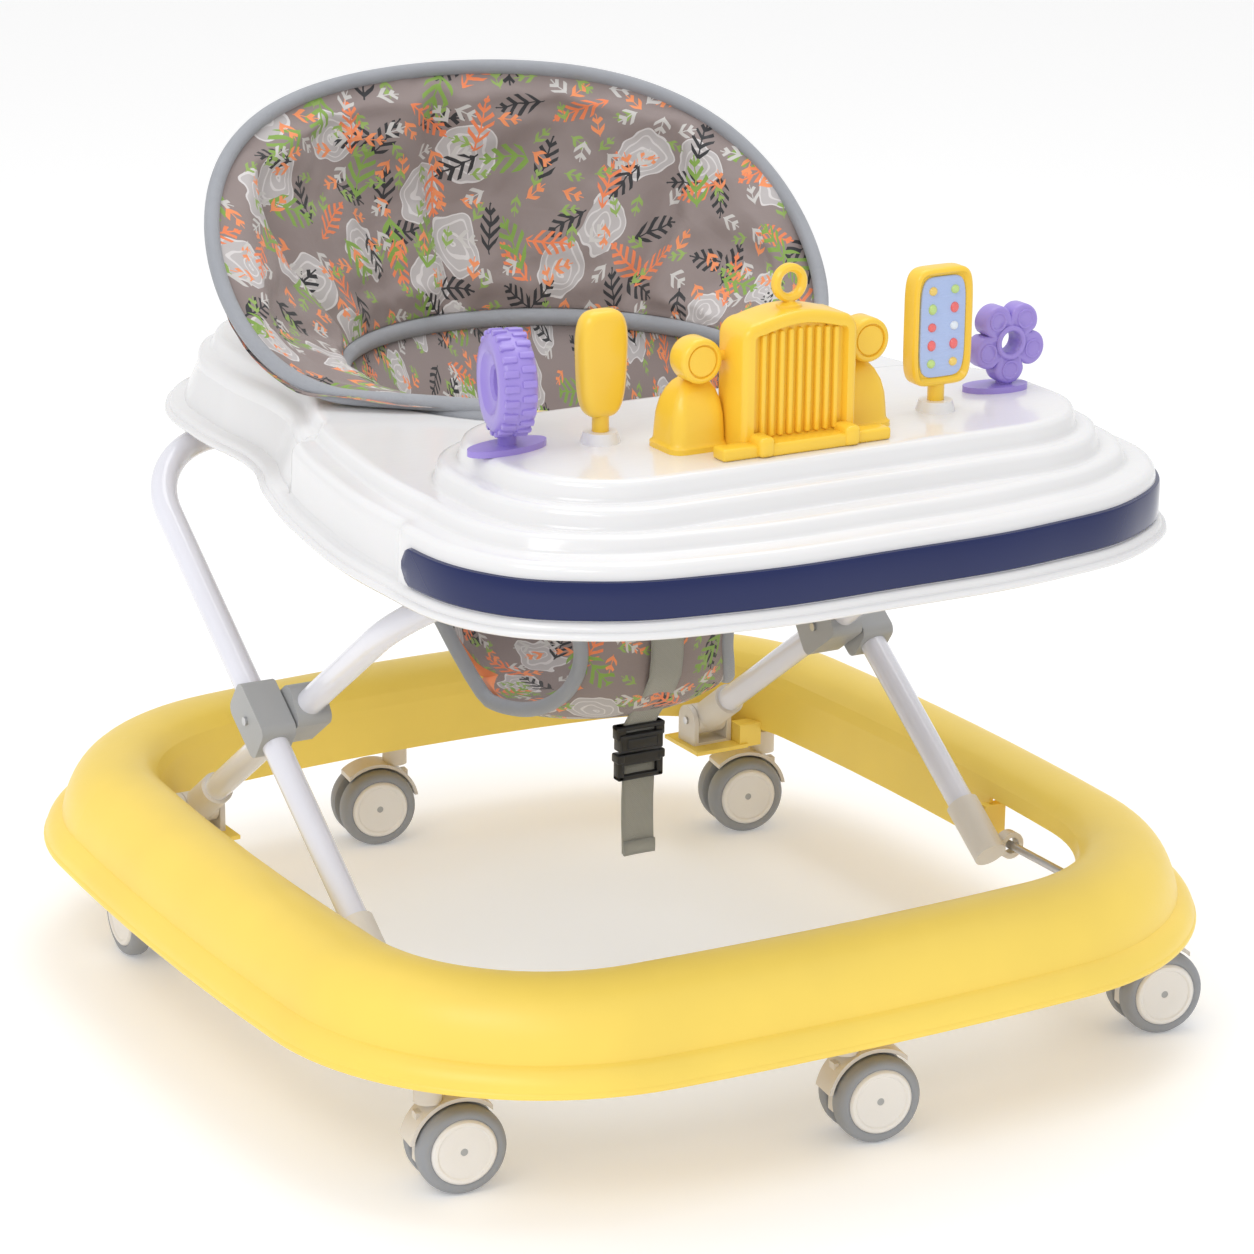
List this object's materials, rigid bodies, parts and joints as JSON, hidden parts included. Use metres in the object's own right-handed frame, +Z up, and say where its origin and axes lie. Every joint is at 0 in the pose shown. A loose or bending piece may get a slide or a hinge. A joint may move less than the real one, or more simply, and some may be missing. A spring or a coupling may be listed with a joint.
{
  "type": "baby walker",
  "caption": "Folding baby walker: floor ring on swivel casters, crossed tube legs, toy tray and padded hanging seat.",
  "frame": {"origin": "on the floor under the middle of the floor ring", "axes": "+Z up, the toys and tray front at -Y, +X to the right seen from the front"},
  "size_m": [0.7008, 0.7468, 0.619],
  "materials": {
    "yellow_plastic": "satin",
    "toy_yellow": "satin",
    "purple_plastic": "satin",
    "white_plastic": "gloss",
    "navy_trim": "high gloss",
    "cream_plastic": "satin",
    "disc_plastic": "satin",
    "grey_plastic": "satin",
    "tyre_rubber": "matte",
    "bright_steel": "brushed",
    "painted_tube": "gloss",
    "print_fabric": "printed polyester",
    "webbing": "woven webbing",
    "black_plastic": "satin",
    "panel_blue": "satin",
    "bead_plastic": "satin"
  },
  "bodies": {
    "base": {"base_ring": "yellow_plastic", "rail_rods": "bright_steel", "pivot_brackets": "cream_plastic", "pivot_pins": "bright_steel", "caster_stems": "bright_steel"},
    "inner_legs": {"inner_leg_tube": "painted_tube", "inner_clamps": "grey_plastic", "rear_sockets": "cream_plastic"},
    "outer_legs": {"outer_leg_tube": "painted_tube", "outer_clamps": "grey_plastic", "front_shoes": "cream_plastic", "crossing_screws": "bright_steel"},
    "tray": {"tray_shell": "white_plastic", "trim_strip": "navy_trim", "tray_saddles": "white_plastic", "slide_tracks": "white_plastic", "toy_collars": "white_plastic", "leaf_plate": "purple_plastic", "oval_plate": "purple_plastic", "car_grille": "toy_yellow", "car_fenders": "toy_yellow", "car_bumper": "toy_yellow", "car_ornament": "toy_yellow", "seat_back": "print_fabric", "seat_sling": "print_fabric", "strap_webbing": "webbing", "buckle_socket": "black_plastic"},
    "buckle": {"buckle_tongue": "black_plastic", "strap_tail": "webbing"},
    "tyre_toy": {"tyre_toy": "purple_plastic"},
    "pill_toy": {"pill_toy": "toy_yellow"},
    "panel_toy": {"panel_frame": "toy_yellow", "panel_face": "panel_blue", "panel_beads": "bead_plastic"},
    "flower_toy": {"flower_toy": "purple_plastic"},
    "caster_1": {"caster_hood_1": "cream_plastic"},
    "wheels_1": {"caster_tyres_1": "tyre_rubber", "caster_discs_1": "disc_plastic", "caster_axle_1": "bright_steel"},
    "caster_2": {"caster_hood_2": "cream_plastic"},
    "wheels_2": {"caster_tyres_2": "tyre_rubber", "caster_discs_2": "disc_plastic", "caster_axle_2": "bright_steel"},
    "caster_3": {"caster_hood_3": "cream_plastic"},
    "wheels_3": {"caster_tyres_3": "tyre_rubber", "caster_discs_3": "disc_plastic", "caster_axle_3": "bright_steel"},
    "caster_4": {"caster_hood_4": "cream_plastic"},
    "wheels_4": {"caster_tyres_4": "tyre_rubber", "caster_discs_4": "disc_plastic", "caster_axle_4": "bright_steel"},
    "caster_5": {"caster_hood_5": "cream_plastic"},
    "wheels_5": {"caster_tyres_5": "tyre_rubber", "caster_discs_5": "disc_plastic", "caster_axle_5": "bright_steel"},
    "caster_6": {"caster_hood_6": "cream_plastic"},
    "wheels_6": {"caster_tyres_6": "tyre_rubber", "caster_discs_6": "disc_plastic", "caster_axle_6": "bright_steel"}
  },
  "joints": [
    {"name": "fold", "type": "hinge", "parent": "base", "child": "inner_legs", "pos_m": [0, 0.22141, 0.096], "axis": [1, 0, 0], "range_deg": [0, 25.5]},
    {"name": "crossing", "type": "hinge", "parent": "inner_legs", "child": "outer_legs", "pos_m": [0, 0.048, 0.21969], "axis": [1, 0, 0], "range_deg": [-51, 0]},
    {"name": "tray_level", "type": "hinge", "parent": "outer_legs", "child": "tray", "pos_m": [0, 0.25153, 0.36486], "axis": [1, 0, 0], "range_deg": [0, 25.5]},
    {"name": "swivel_1", "type": "hinge", "parent": "base", "child": "caster_1", "pos_m": [-0.275, -0.258, 0.07], "axis": [0, 0, 1], "continuous": true},
    {"name": "wheel_1", "type": "hinge", "parent": "caster_1", "child": "wheels_1", "pos_m": [-0.25717, -0.2605, 0.03], "axis": [0.1392, 0.9903, 0], "continuous": true},
    {"name": "swivel_2", "type": "hinge", "parent": "base", "child": "caster_2", "pos_m": [0, -0.318, 0.07], "axis": [0, 0, 1], "continuous": true},
    {"name": "wheel_2", "type": "hinge", "parent": "caster_2", "child": "wheels_2", "pos_m": [0.01783, -0.3205, 0.03], "axis": [0.1392, 0.9903, 0], "continuous": true},
    {"name": "swivel_3", "type": "hinge", "parent": "base", "child": "caster_3", "pos_m": [0.275, -0.258, 0.07], "axis": [0, 0, 1], "continuous": true},
    {"name": "wheel_3", "type": "hinge", "parent": "caster_3", "child": "wheels_3", "pos_m": [0.29273, -0.26113, 0.03], "axis": [0.1736, 0.9848, 0], "continuous": true},
    {"name": "swivel_4", "type": "hinge", "parent": "base", "child": "caster_4", "pos_m": [-0.268, 0.22, 0.07], "axis": [0, 0, 1], "continuous": true},
    {"name": "wheel_4", "type": "hinge", "parent": "caster_4", "child": "wheels_4", "pos_m": [-0.26863, 0.20201, 0.03], "axis": [0.9994, -0.0349, 0], "continuous": true},
    {"name": "swivel_5", "type": "hinge", "parent": "base", "child": "caster_5", "pos_m": [0, 0.33, 0.07], "axis": [0, 0, 1], "continuous": true},
    {"name": "wheel_5", "type": "hinge", "parent": "caster_5", "child": "wheels_5", "pos_m": [-0.01783, 0.3325, 0.03], "axis": [-0.1392, -0.9903, 0], "continuous": true},
    {"name": "swivel_6", "type": "hinge", "parent": "base", "child": "caster_6", "pos_m": [0.268, 0.22, 0.07], "axis": [0, 0, 1], "continuous": true},
    {"name": "wheel_6", "type": "hinge", "parent": "caster_6", "child": "wheels_6", "pos_m": [0.25027, 0.22313, 0.03], "axis": [-0.1736, -0.9848, 0], "continuous": true},
    {"name": "tyre_toy_turn", "type": "hinge", "parent": "tray", "child": "tyre_toy", "pos_m": [-0.188, -0.2, 0.47], "axis": [0, 0, 1], "continuous": true},
    {"name": "pill_toy_turn", "type": "hinge", "parent": "tray", "child": "pill_toy", "pos_m": [-0.126, -0.209, 0.47], "axis": [0, 0, 1], "continuous": true},
    {"name": "panel_toy_turn", "type": "hinge", "parent": "tray", "child": "panel_toy", "pos_m": [0.107, -0.24, 0.47], "axis": [0, 0, 1], "continuous": true},
    {"name": "flower_toy_turn", "type": "hinge", "parent": "tray", "child": "flower_toy", "pos_m": [0.179, -0.214, 0.47], "axis": [0, 0, 1], "continuous": true},
    {"name": "buckle_release", "type": "slide", "parent": "tray", "child": "buckle", "axis": [0, 0, -1], "range_m": [0, 0.025]}
  ],
  "couplings": [
    {"joint": "crossing", "follows": "fold", "ratio": -2},
    {"joint": "tray_level", "follows": "fold", "ratio": 1}
  ]
}
